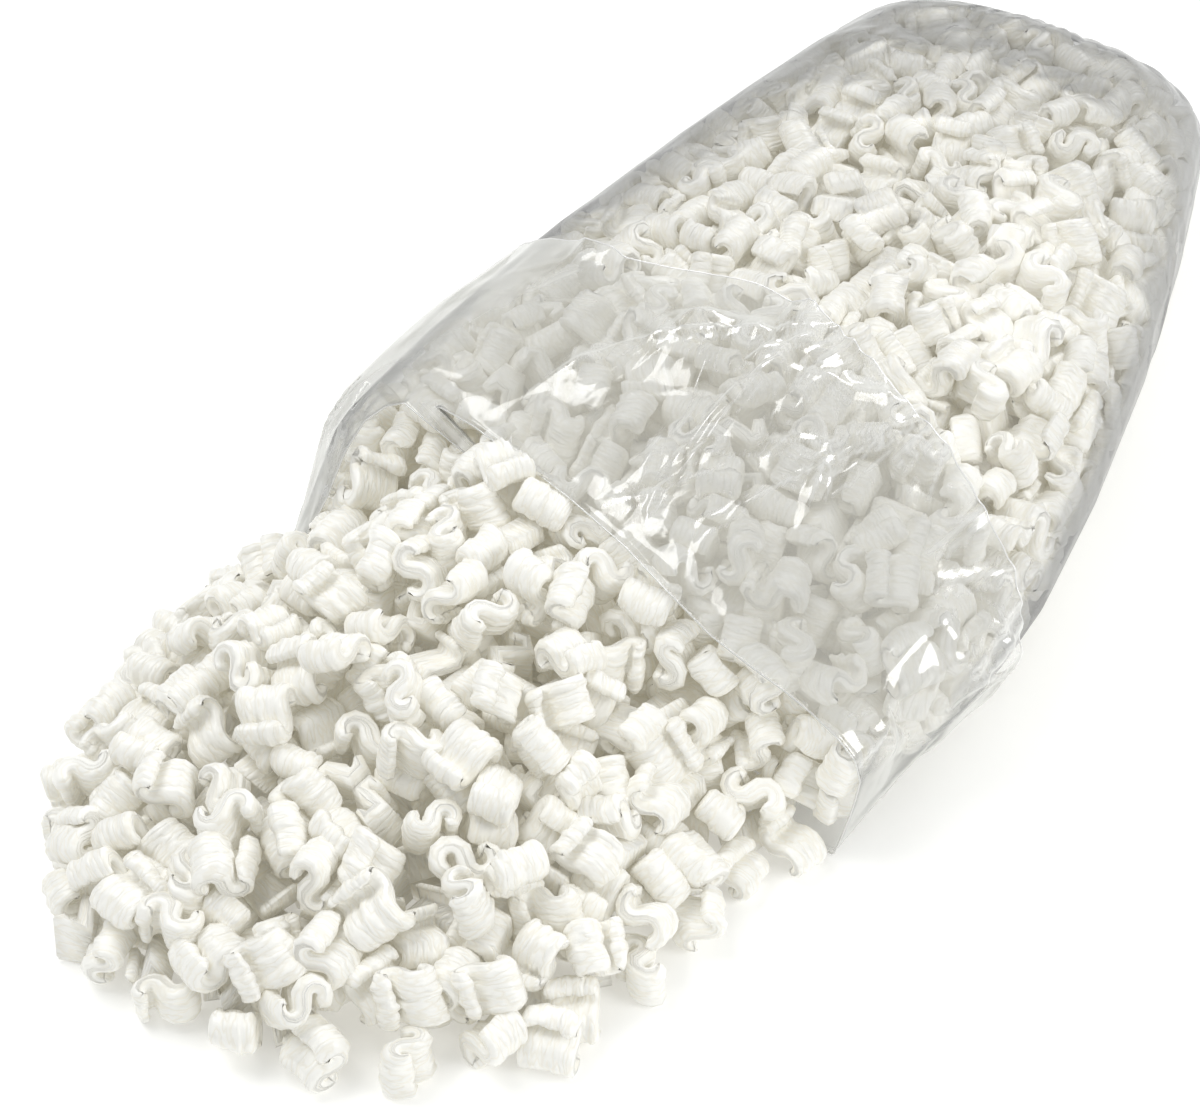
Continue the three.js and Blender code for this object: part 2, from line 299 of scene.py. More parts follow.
def facets(across, along, size, seed):
    """Noise from -1 to 1 of flat triangles that meet in sharp folds, over a sheet's two ways."""
    warp = np.stack([across, along], -1) / (2.2 * size)
    x = across / size + 0.9 * value_noise(warp, 1, seed + 1)
    y = along / size + 0.9 * value_noise(warp, 1, seed + 2)
    x, y = (x + 0.35 * y).ravel(), (y - 0.2 * x).ravel()
    cell = np.stack([np.floor(x), np.floor(y)], 1).astype(np.int64)
    fx, fy = x - cell[:, 0], y - cell[:, 1]
    right = fx > fy
    corners = ((0, 0), (1, 1)), (1 - np.maximum(fx, fy), np.minimum(fx, fy))
    total = np.zeros(len(x))
    for corner, weight in zip(*corners):
        total += weight * ((scrambled(cell + np.array(corner), seed) & 0xFFFF) / 0x7FFF - 1)
    third = cell + np.where(right[:, None], [1, 0], [0, 1])
    total += np.abs(fx - fy) * ((scrambled(third, seed) & 0xFFFF) / 0x7FFF - 1)
    return total.reshape(across.shape)


# ---------------- the bag's form, from its CAD node


class BagForm:
    """The film's surface, cast from the CAD film: where along the bag it starts and its cuff ends
    at each angle round it, and its radius about a line inside the bag."""

    def __init__(self):
        points, faces = mesh_arrays(NODES["bag_film"])
        self.tree = tree_of(points, faces)
        self.low, self.high = box_of("bag_film")
        stations = np.linspace(self.low[1] + 0.03, self.high[1] - 0.02, 24)
        self.centre_line = (stations, np.array([self.sides(y) for y in stations]).mean(1))
        self.seal_y = self.high[1] - SEAL_DEPTH - 0.001
        self.last_cast = self.seal_y - CLOSING_DEPTH
        self.angles = np.linspace(0, 2 * math.pi, BODY_AROUND, endpoint=False)
        rim = np.array([self.first_hit(a) for a in self.angles])
        self.rim = np.median([np.roll(rim, k) for k in range(-4, 5)], 0)
        edge = np.array([self.cuff_end(a, y) for a, y in zip(self.angles, self.rim)])
        self.cuff_edge = self.evened(edge, 9)
        left = smoothstep(1.6, 2.5, self.angles) * (1 - smoothstep(3.4, 4.4, self.angles))
        right = 1 - smoothstep(0.5, 1.2, self.angles)
        self.cuff_edge -= CUFF_SHORTER_LEFT * left + CUFF_SHORTER_RIGHT * right

    def evened(self, values, reach):
        """Values round the bag, each one the mean of those beside it."""
        return np.mean([np.roll(values, k) for k in range(-reach, reach + 1)], 0)

    def sides(self, y):
        middle = (self.low[0] + self.high[0]) / 2
        ends = []
        for way in (-1, 1):
            hit = self.tree.ray_cast(Vector((middle, y, SEAL_HEIGHT)), Vector((way, 0, 0)))[0]
            ends.append(hit.x if hit else middle)
        return ends

    def centre(self, y):
        return np.interp(y, *self.centre_line)

    def angle_of(self, places):
        return np.arctan2(places[:, 2] - SEAL_HEIGHT, places[:, 0] - self.centre(places[:, 1]))

    def inner(self, angle, y):
        origin = Vector((self.centre(y), y, SEAL_HEIGHT))
        return self.tree.ray_cast(origin, Vector((math.cos(angle), 0, math.sin(angle))))[3]

    def outer(self, angle, y, reach=0.4):
        way = Vector((math.cos(angle), 0, math.sin(angle)))
        start = Vector((self.centre(y), y, SEAL_HEIGHT)) + way * reach
        distance = self.tree.ray_cast(start, -way)[3]
        return None if distance is None else reach - distance

    def first_hit(self, angle, step=0.004, halvings=5):
        y = self.low[1] + step / 2
        while self.inner(angle, y) is None:
            y += step
        for _ in range(halvings):
            step /= 2
            y += step if self.inner(angle, y) is None else -step
        return y + step

    def cuff_end(self, angle, rim, step=0.003, two_layers=0.0021):
        y = rim + 0.03
        while self.outer(angle, y) - self.inner(angle, y) > two_layers and y < self.high[1] - 0.2:
            y += step
        return y

    def cast_points(self, angles, rows):
        """The film's inner face at these angles, for rows of y values."""
        radius = np.empty(rows.shape)
        for i, row in enumerate(rows):
            for j, (angle, y) in enumerate(zip(angles, row)):
                found = self.inner(angle, y)
                radius[i, j] = found if found else (radius[i - 1, j] if i else 0.1)
        centre = self.centre(rows)
        return np.stack([centre + radius * np.cos(angles), rows,
                         SEAL_HEIGHT + radius * np.sin(angles)], -1)

    def round_bag(self, values, angles):
        return np.interp(angles, self.angles, values, period=2 * math.pi)


def grid_faces(rows, columns, closed=False):
    """Quads of a grid that closes on itself round its columns, and along its rows if asked."""
    i, j = np.meshgrid(np.arange(rows if closed else rows - 1), np.arange(columns), indexing="ij")
    here, beside, below = i * columns, (j + 1) % columns, (i + 1) % rows * columns
    return np.stack([here + j, here + beside, below + beside, below + j], -1).reshape(-1, 4)


def outward(points, centre_x):
    """Unit vectors square to a grid of points round the bag."""
    round_it = np.roll(points, -1, 1) - np.roll(points, 1, 1)
    normal = np.cross(round_it, np.gradient(points, axis=0))
    normal /= np.maximum(np.linalg.norm(normal, axis=-1), 1e-9)[..., None]
    away = points - np.stack([centre_x, points[..., 1], np.full(centre_x.shape, SEAL_HEIGHT)], -1)
    return normal * np.sign(np.sum(normal * away, -1) + 1e-12)[..., None]


# ---------------- the space that the peanuts fill


class Space:
    """How far inside the bag or the heap a place is, on a grid of voxels. Below zero is outside."""

    def __init__(self, form, surface):
        self.form = form
        self.low = np.array(CAD_BOX[0]) - 3 * VOXEL
        self.high = np.array(CAD_BOX[1]) + 3 * VOXEL
        self.shape = np.ceil((self.high - self.low) / VOXEL).astype(int) + 1
        axes = [self.low[k] + VOXEL * np.arange(self.shape[k]) for k in range(3)]
        x, y, z = np.meshgrid(*axes, indexing="ij")
        places = np.stack([x, y, z], -1).reshape(-1, 3)
        self.foot = self.heap_foot()
        in_bag, in_heap = self.in_bag(places, surface), self.in_heap(places)
        field = np.where(self.behind_rim(places), in_bag, in_heap)
        self.field = field.reshape(self.shape)
        self.slopes = np.stack(np.gradient(self.field, VOXEL), -1)

    def past_rim(self, places):
        """How far into the bag a place is from the rim at its angle."""
        angle = self.form.angle_of(places) % (2 * math.pi)
        return places[:, 1] - self.form.round_bag(self.form.rim, angle)

    def behind_rim(self, places):
        return self.past_rim(places) > 0

    def in_bag(self, places, surface):
        points = surface.reshape(-1, 3)
        tree = tree_of(points, grid_faces(*surface.shape[:2]))
        distance = np.full(len(places), -0.03)
        near = (places[:, 1] > self.form.low[1] - 0.03) & (places[:, 2] < self.form.high[2] + 0.02)
        for i in np.flatnonzero(near):
            found = tree.find_nearest(Vector(places[i]))
            side = (Vector(places[i]) - found[0]).dot(found[1])
            distance[i] = math.copysign(found[3], side)
        centre = Vector((self.form.centre(0.1), 0.1, SEAL_HEIGHT))
        found = tree.find_nearest(centre)
        if (centre - found[0]).dot(found[1]) < 0:
            distance[near] *= -1
        beyond = self.form.last_cast - places[:, 1]
        return np.where(near, np.minimum(distance, beyond), distance)

    def heap_foot(self):
        """The outline of the heap's foot, round the CAD peanuts that stand on the floor."""
        corners = []
        for name in PEANUT_NODES:
            low, high = box_of(name)
            if low[2] < 0.001:
                corners += [(x, y) for x in (low[0], high[0]) for y in (low[1], high[1])]
        self.front = min(y for _, y in corners)
        corners += HEAP_SPREAD
        left, right = self.form.sides(self.form.low[1] + 0.15)
        corners += [(left + 0.03, self.form.low[1] + 0.05), (left + 0.03, self.form.low[1] + 0.4),
                    (right, self.form.low[1] + 0.4)]
        return np.array([corners[i] for i in convex_hull_2d(corners)])

    def in_heap(self, places):
        start, end = self.foot, np.roll(self.foot, -1, 0)
        way = (end - start) / np.linalg.norm(end - start, axis=1)[:, None]
        inward = np.stack([-way[:, 1], way[:, 0]], 1)
        if ((self.foot.mean(0) - start[0]) @ inward[0]) < 0:
            inward = -inward
        inset = ((places[:, None, :2] - start) * inward).sum(2).min(1) - HEAP_INSET
        reach = self.form.low[1] - self.front
        fall = np.clip((self.form.low[1] - places[:, 1]) / reach, -0.3, 1)
        crest = HEAP_TOP - (HEAP_TOP - HEAP_TOE) * np.sign(fall) * np.abs(fall) ** HEAP_FALL
        edge = HEAP_EDGE + HEAP_SIDE_SLOPE * np.maximum(inset, 0)
        ripple = HEAP_RIPPLE * value_noise(places[:, :2], 0.07, 5)
        top = np.minimum(crest, edge) + ripple
        return np.minimum(np.minimum(places[:, 2], (top - places[:, 2]) * 0.85), inset)

    def sample(self, places):
        """The field and its slope at places, read between the voxels."""
        at = np.clip((places - self.low) / VOXEL, 0, self.shape - 1.001)
        cell = at.astype(int)
        part = at - cell
        value = np.zeros(len(places))
        slope = np.zeros((len(places), 3))
        for corner in np.ndindex(2, 2, 2):
            weight = np.prod(np.where(corner, part, 1 - part), axis=1)
            i, j, k = (cell + corner).T
            value += weight * self.field[i, j, k]
            slope += weight[:, None] * self.slopes[i, j, k]
        length = np.linalg.norm(slope, axis=1)[:, None]
        return value, slope / np.maximum(length, 1e-6)

    def pressed(self, points):
        """The peanuts' points, flattened where they press on the film or on the floor."""
        flat = points.reshape(-1, 3).copy()
        inside, slope = self.sample(flat)
        in_bag = self.behind_rim(flat) & (inside > -0.012)
        flat += slope * (np.maximum(FILM_GAP - inside, 0) * in_bag)[:, None]
        flat[:, 2] = np.maximum(flat[:, 2], 0.0003)
        return flat.reshape(points.shape)


# ---------------- settling the peanuts


def peanut_balls():
    """The balls that stand for a peanut while it settles, three rows of six."""
    balls = []
    reach = HOOK_RADIUS + RIBBON / 2 - BALL
    for way in (-1, 1):
        middle = np.array([way * -HOOK_RADIUS, way * MIDDLE_LENGTH / 2])
        for k in range(3):
            angle = math.radians(90 + 120 * k) + (0 if way < 0 else math.pi)
            spot = middle + reach * np.array([math.cos(angle), math.sin(angle)])
            for height in (-1, 0, 1):
                balls.append([spot[0], spot[1], height * (CUT_LENGTH / 2 - BALL)])
    return np.array(balls)


def random_rotations(count):
    q = RNG.normal(size=(count, 4))
    w, x, y, z = (q / np.linalg.norm(q, axis=1)[:, None]).T
    return np.stack([
        np.stack([1 - 2 * (y * y + z * z), 2 * (x * y - z * w), 2 * (x * z + y * w)], -1),
        np.stack([2 * (x * y + z * w), 1 - 2 * (x * x + z * z), 2 * (y * z - x * w)], -1),
        np.stack([2 * (x * z - y * w), 2 * (y * z + x * w), 1 - 2 * (x * x + y * y)], -1),
    ], 1)


def touching(points, reach):
    """Pairs of points that are nearer than reach, found by sorting them into cells."""
    cell = np.floor((points - points.min(0)) / reach).astype(np.int64) + 1
    width = cell.max(0) + 2
    key = (cell[:, 0] * width[1] + cell[:, 1]) * width[2] + cell[:, 2]
    order = np.argsort(key, kind="stable")
    ranked = key[order]
    firsts, seconds = [], []
    for dx, dy, dz in np.ndindex(3, 3, 3):
        shift = ((dx - 1) * width[1] + (dy - 1)) * width[2] + (dz - 1)
        if shift < 0:
            continue
        begin = np.searchsorted(ranked, ranked + shift, "left")
        finish = np.searchsorted(ranked, ranked + shift, "right")
        if shift == 0:
            begin = np.maximum(begin, np.arange(len(ranked)) + 1)
        count = np.maximum(finish - begin, 0)
        first = np.repeat(np.arange(len(ranked)), count)
        offset = np.arange(count.sum()) - np.repeat(np.cumsum(count) - count, count)
        firsts.append(order[first])
        seconds.append(order[np.repeat(begin, count) + offset])
    a, b = np.concatenate(firsts), np.concatenate(seconds)
    apart = points[a] - points[b]
    distance = np.einsum("ij,ij->i", apart, apart)
    near = distance < reach * reach
    return a[near], b[near], apart[near], np.sqrt(distance[near])


def settle(space, centres, turns, held, steps):
    """Grows the peanuts to their full size in their space while they push each other apart.
    The held ones stay where they are, at their full size."""
    shape = peanut_balls()
    count, each = len(centres), len(shape)
    owner = np.repeat(np.arange(count), each)
    fixed = np.repeat(held, each)
    for step in range(steps):
        grown = min(1.0, START_SIZE + (1 - START_SIZE) * step / (GROWTH * steps))
        size = np.where(held, 1.0, grown)
        local = shape[None] * size[:, None, None]
        balls = centres[:, None] + np.einsum("nij,nkj->nki", turns, local)
        balls = balls.reshape(-1, 3)
        radius = np.repeat(BALL * size, each)
        a, b, apart, distance = touching(balls, 2 * BALL)
        other = owner[a] != owner[b]
        a, b, apart, distance = a[other], b[other], apart[other], distance[other]
        deep = radius[a] + radius[b] - distance
        press = deep > 0
        a, b, apart, distance, deep = (v[press] for v in (a, b, apart, distance, deep))
        share = np.where(fixed[a] | fixed[b], 1.0, 0.5)
        push = apart * (share * deep / np.maximum(distance, 1e-6))[:, None]
        moves = np.stack([np.bincount(a, way, len(balls)) - np.bincount(b, way, len(balls))
                          for way in push.T], 1)
        hits = np.bincount(a, minlength=len(balls)) + np.bincount(b, minlength=len(balls))
        moves /= np.maximum(hits, 1)[:, None] ** 0.7
        inside, slope = space.sample(balls)
        outside = np.maximum(radius - inside, 0)
        moves += slope * outside[:, None]
        if step < steps * GRAVITY_UNTIL:
            moves[:, 2] -= GRAVITY_STEP
        moved = (balls + np.where(fixed[:, None], 0, moves)).reshape(count, each, 3)
        middle = moved.mean(1)
        spread = np.einsum("nki,nkj->nij", moved - middle[:, None], local)
        u, _, vt = np.linalg.svd(spread)
        flip = np.sign(np.linalg.det(u @ vt))
        u[:, :, 2] *= flip[:, None]
        if step > steps * PUSHED_IN_FROM:
            deepest = outside.reshape(count, each).argmax(1) + np.arange(count) * each
            middle = middle + 0.6 * slope[deepest] * outside[deepest][:, None]
        centres = np.where(held[:, None], centres, middle)
        turns = np.where(held[:, None, None], turns, u @ vt)
    return centres, turns


def pose_of(node, template):
    """A CAD peanut's place and turn: its cut ends give its length, their S its other axes."""
    points, faces = mesh_arrays(NODES[node])
    first, second, third = (points[faces[:, k]] for k in range(3))
    sides = np.cross(second - first, third - first)
    area = np.linalg.norm(sides, axis=1)
    normals = sides / np.maximum(area, 1e-12)[:, None]
    alike = np.abs(normals @ normals.T) > 0.999
    axis = normals[np.argmax(alike @ area)]
    ends = np.abs(normals @ axis) > 0.999
    spots = points[np.unique(faces[ends])]
    centre = spots.mean(0)
    best = None
    for way in (1, -1):
        along = axis * way
        side = np.cross(along, [0, 0, 1.0] if abs(along[2]) < 0.9 else [0, 1.0, 0])
        side /= np.linalg.norm(side)
        base = np.stack([side, np.cross(along, side), along], 1)
        flat = (spots - centre) @ base[:, :2]
        for turn in np.radians(np.arange(0, 180, 2)):
            c, s = math.cos(turn), math.sin(turn)
            tried = flat @ np.array([[c, -s], [s, c]])
            gap = np.linalg.norm(tried[:, None] - template[None], axis=2).min(1).mean()
            if best is None or gap < best[0]:
                best = (gap, base @ np.array([[c, -s, 0], [s, c, 0], [0, 0, 1]]))
    return centre, best[1]


# ---------------- a peanut's surface


def centre_line(along, radius, turn, middle):
    """Points and directions of the S's centre line; along runs from -1 at one tip to 1 at the
    other, and the other values are one per peanut."""
    arc = radius * turn
    reach = arc + middle / 2
    distance = np.abs(along)[None] * reach[:, None]
    straight = np.minimum(distance, middle[:, None] / 2)
    angle = np.maximum(distance - middle[:, None] / 2, 0) / radius[:, None]
    x = radius[:, None] * (np.cos(angle) - 1)
    y = straight + radius[:, None] * np.sin(angle)
    way = np.sign(along)[None] + (along == 0)[None]
    point = np.stack([x * way, y * way], -1)
    direction = np.stack([-np.sin(angle), np.cos(angle)], -1)
    return point, direction


def end_rings(fine):
    """How far in from a cut end its rings lie, and how much smaller they are than the rest."""
    if fine:
        return np.array([0, 0.0010, 0.0028]), np.array([0.0034, 0.0014, 0.0003])
    return np.array([0, 0.0022]), np.array([0.0030, 0.0006])


def peanut_profiles(along, radius, turn, middle, thickness):
    """The S's edge all round, as points and the ways it faces, one row per peanut."""
    line, direction = centre_line(along, radius, turn, middle)
    across = np.stack([direction[..., 1], -direction[..., 0]], -1)
    half = (thickness[:, None] / 2 * (1.04 - 0.34 * np.abs(along) ** 3)[None])[..., None]
    points, ways = [line + across * half], [across]
    for end in (-1, 0):
        sign = 1 if end else -1
        for angle in TIP_ANGLES:
            way = sign * (direction[:, end] * math.cos(angle) + across[:, end] * math.sin(angle))
            points.append((line[:, end] + way * half[:, end])[:, None])
            ways.append(way[:, None])
        if end:
            points.append((line - across * half)[:, ::-1])
            ways.append(-across[:, ::-1])
    return np.concatenate(points, 1), np.concatenate(ways, 1)


def peanut_meshes(centres, turns, rows, stations, seed):
    """Every peanut's points, their own coordinates and one peanut's faces. rows is how many
    rings run along its length, and stations how many steps run along the S."""
    count = len(centres)
    rng = np.random.default_rng(seed)
    radius = HOOK_RADIUS * rng.uniform(*HOOK_RANGE, count)
    turn = HOOK_TURN * rng.uniform(*TURN_RANGE, count)
    middle = MIDDLE_LENGTH * rng.uniform(*MIDDLE_RANGE, count)
    length = CUT_LENGTH * rng.uniform(*LENGTH_RANGE, count)
    thickness = RIBBON * rng.uniform(*THICKNESS_RANGE, count)
    steps = np.linspace(-1, 1, stations)
    along = np.sin(steps * math.pi / 2) * 0.25 + steps * 0.75
    profile, ways = peanut_profiles(along, radius, turn, middle, thickness)
    ring = profile.shape[1]

    depth, inset = end_rings(rows > 10)
    ends = len(depth)
    inner = np.linspace(depth[-1] * 1.6, CUT_LENGTH - depth[-1] * 1.6, rows - 2 * ends)
    level = np.concatenate([depth, inner, CUT_LENGTH - depth[::-1]]) / CUT_LENGTH - 0.5
    shrink = np.concatenate([inset, np.zeros(rows - 2 * ends), inset[::-1]])
    width = level[None] * length[:, None]

    # Ribs run round the S, as the foam swells unevenly while it leaves the die.
    step = np.linalg.norm(np.diff(profile, axis=1, append=profile[:, :1]), axis=-1)
    edge = np.cumsum(step, 1) - step
    own = np.empty((count, rows, ring, 3))
    own[..., 0] = edge[:, None] + rng.uniform(0, 50, (count, 1, 1))
    own[..., 1] = width[..., None] + rng.uniform(0, 50, (count, 1, 1))
    own[..., 2] = rng.uniform(0, 50, (count, 1, 1))
    turned = own[..., 1] + RIB_SWAY * value_noise(own / 0.016, 1, 3)
    puffs = np.stack([own[..., 0] / 0.030, turned / 0.0060], -1)
    finer = np.stack([own[..., 0] / 0.015, turned / 0.0034], -1)
    ribs = (RIB_HEIGHT * (np.abs(value_noise(puffs, 1, 7)) - 0.35)
            + FINE_RIB_HEIGHT * (np.abs(value_noise(finer, 1, 8)) - 0.35))
    swell = SWELLING * value_noise(own / 0.013, 1, 9)
    flat = profile[:, None] + ways[:, None] * (ribs + swell - shrink[None, :, None])[..., None]

    # Each one is bent, twisted and tapered a little, and cut off not quite square.
    twist = width * rng.uniform(-TWIST, TWIST, (count, 1))
    c, s = np.cos(twist)[..., None], np.sin(twist)[..., None]
    taper = (1 + width * rng.uniform(-TAPER, TAPER, (count, 1)))[..., None]
    bend = rng.uniform(-BOW, BOW, (count, 2))
    bow = (width ** 2)[..., None]
    x = (flat[..., 0] * c - flat[..., 1] * s) * taper + bend[:, :1, None] * bow
    y = (flat[..., 0] * s + flat[..., 1] * c) * taper + bend[:, 1:, None] * bow
    slant = rng.uniform(-SLANT, SLANT, (count, 2))
    z = width[..., None] + slant[:, :1, None] * x + slant[:, 1:, None] * y
    local = np.stack([x, y, z], -1).reshape(count, -1, 3)
    world = centres[:, None] + np.einsum("nij,nkj->nki", turns, local)

    sides = grid_faces(rows, ring)
    faces = [sides]
    for cap in cap_faces(stations, len(TIP_ANGLES), ring):
        faces += [cap[:, ::-1], cap + (rows - 1) * ring]
    return world, own.reshape(count, -1, 3), faces


def cap_faces(stations, caps, ring):
    """Quads across a cut end from the S's one edge to its other, and the triangles at its tips."""
    near = np.arange(stations)
    far = 2 * stations + caps - 1 - near
    quads = [np.stack([near[:-1], near[1:], far[1:], far[:-1]], 1)]
    triangles = []
    for first in (stations - 1, 2 * stations + caps - 1):
        tip = (first + np.arange(caps + 2)) % ring
        quads.append(tip[None, [0, 1, 3, 4]])
        triangles.append(tip[None, [1, 2, 3]])
    return [np.concatenate(quads), np.concatenate(triangles)]


def peanuts_object(name, space, centres, turns, rows, stations, seed, material):
    """One mesh of many peanuts, and its points by peanut."""
    points, own, faces = peanut_meshes(centres, turns, rows, stations, seed)
    points = space.pressed(points)
    first = (np.arange(len(centres)) * points.shape[1])[:, None, None]
    every = [(group[None] + first).reshape(-1, group.shape[1]) for group in faces]
    obj = make_mesh(name, points.reshape(-1, 3), every,
                    attributes=[("own_place", "FLOAT_VECTOR", own)])
    obj.data.materials.append(material)
    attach(obj, "root")
    return obj, points.reshape(-1, 3)


# ---------------- the film


def draped(contact, slack, passes=90):
    """A film pulled tight over what it touches, from how high that stands in each cell."""
    held = np.maximum(contact, -slack)
    film = held
    for _ in range(passes):
        above, below = np.vstack([film[:1], film[:-1]]), np.vstack([film[1:], film[-1:]])
        beside = np.roll(film, 1, 1) + np.roll(film, -1, 1)
        film = np.maximum(held, (above + below + beside) / 4)
    return film


def height_of_fill(points, normals, rows_of, fill):
    """How far the fill stands out past each point of the film's grid, and past those round it."""
    height = np.full(points.shape[:2], -1.0)
    i, j = rows_of(fill)
    inside = (i >= 0) & (i < len(points))
    i, j, fill = i[inside], j[inside], fill[inside]
    np.maximum.at(height, (i, j), np.sum((fill - points[i, j]) * normals[i, j], 1))
    for axis in (0, 1):
        height = np.maximum.reduce([height, np.roll(height, 1, axis), np.roll(height, -1, axis)])
    return height


def creases(points, spots, ways, lengths, widths, heights):
    """Straight sharp folds on a surface: each has a middle, a way it runs, and a size."""
    total = np.zeros(points.shape[:-1])
    for spot, way, length, width, height in zip(spots, ways, lengths, widths, heights):
        gap = points - spot
        near = np.linalg.norm(gap, axis=-1) < length
        along = gap[near] @ way
        across = np.linalg.norm(gap[near] - along[:, None] * way, axis=1)
        fade = np.clip(1 - (along / length) ** 2, 0, 1)
        total[near] += height * fade * np.clip(1 - across / (width * (0.35 + 0.65 * fade)), 0, 1)
    return total


def random_creases(points, normals, count, length, width, height, mask, lean):
    """Creases at random spots where the mask is high, most of them leaning one way."""
    flat, square = points.reshape(-1, 3), normals.reshape(-1, 3)
    weight = mask.ravel() / mask.sum()
    chosen = RNG.choice(len(flat), count, p=weight)
    ways = np.array(lean) + RNG.normal(0, 0.45, (count, 3))
    ways -= np.sum(ways * square[chosen], 1)[:, None] * square[chosen]
    ways /= np.linalg.norm(ways, axis=1)[:, None]
    sizes = [RNG.uniform(low, high, count) for low, high in (length, width, height)]
    return creases(points, flat[chosen], ways, *sizes)


def steepness(rim):
    """How much longer a step along the bag is than the shortest way to its slanting rim."""
    step = 2 * math.pi * MEAN_RADIUS / len(rim)
    slope = (np.roll(rim, -1) - np.roll(rim, 1)) / (2 * step)
    return np.sqrt(1 + slope ** 2)


def blurred(values):
    """Values of a grid round the bag, each one mixed with those beside it."""
    values = (2 * values + np.roll(values, 1, 1) + np.roll(values, -1, 1)) / 4
    padded = np.pad(values, ((1, 1), (0, 0)), "edge")
    return (2 * values + padded[:-2] + padded[2:]) / 4


def sharpness(lift):
    """How sharply a lifted grid bends at each point, from 0 to 1."""
    padded = np.pad(lift, ((1, 1), (0, 0)), "edge")
    mean = (padded[:-2] + padded[2:] + np.roll(lift, 1, 1) + np.roll(lift, -1, 1)) / 4
    return smoothstep(SOFT_BEND, SHARP_BEND, np.abs(lift - mean))


def body_grid(form):
    """The bag from its rim to its seal. It follows the CAD film, and then closes on the seal."""
    steps = np.linspace(0, 1, BODY_ROWS)[:, None]
    rows = form.rim + (form.last_cast - form.rim) * steps
    cast = form.cast_points(form.angles, rows)
    closing = np.linspace(1, 0, CLOSING_ROWS + 1)[1:, None]
    slit_x = form.centre(form.seal_y) + SEAL_HALF_WIDTH * np.sign(np.cos(form.angles)) * np.abs(
        np.cos(form.angles)) ** 0.8
    slit_z = SEAL_HEIGHT + seal_wave(slit_x) + 0.0004 * np.sin(form.angles)
    y = form.last_cast + CLOSING_DEPTH * np.sqrt(1 - closing ** 2) + 0 * form.angles
    x = slit_x + (cast[-1, :, 0] - slit_x) * closing
    z = slit_z + (cast[-1, :, 2] - slit_z) * closing
    return np.concatenate([cast, np.stack([x, y, z], -1)])


def seal_wave(x):
    return 0.0035 * np.sin(x * 38) + 0.0015 * np.sin(x * 91 + 1)


def build_body(form, points, fill, material):
    """The clear body of the bag, pulled over the peanuts that it holds."""
    normals = outward(points, form.centre(points[..., 1]))

    def rows_of(places):
        turns = form.angle_of(places) / (2 * math.pi)
        column = np.round(turns * BODY_AROUND).astype(int) % BODY_AROUND
        rim = form.rim[column]
        share = (places[:, 1] - rim) / (form.last_cast - rim)
        return np.round(share * (BODY_ROWS - 1)).astype(int), column

    height = height_of_fill(points, normals, rows_of, fill) + FILM_GAP
    height[BODY_ROWS:] = 0
    lift = draped(height, FILM_SLACK)
    toward_end = smoothstep(form.last_cast - 0.07, form.last_cast, points[..., 1])
    gathers = np.abs(np.sin(form.angles * 17 + 0.8 * np.sin(form.angles * 5))) - 0.7
    past_body = np.maximum(np.arange(len(points)) - BODY_ROWS, -1)
    gathers = gathers * (1 - smoothstep(-1, CLOSING_ROWS - 1, past_body))[:, None]
    lift = lift + GATHER_HEIGHT * toward_end * gathers
    upper = smoothstep(0.04, 0.1, points[..., 2]) * (1 - toward_end)
    rightward = smoothstep(0.02, 0.2, points[..., 0])
    where = upper * (0.25 + rightward)
    folds = blurred(random_creases(points, normals, *BODY_FOLDS, where, ALONG_BAG))
    from_rim = (points[..., 1] - points[:1, :, 1]) / steepness(form.rim)
    near_rim = 1 - smoothstep(0.004, 0.04, from_rim)
    lift = (lift + folds) * (1 - near_rim)
    placed = points + normals * lift[..., None]
    placed[..., 2] = np.maximum(placed[..., 2], 0.0006)
    # Sharp folds are cloudier: partly the whitening of creased film, partly painted glints.
    haze = BODY_HAZE + 0.12 * sharpness(folds) * upper
    return film_piece("bag_film_body", placed, haze, material)


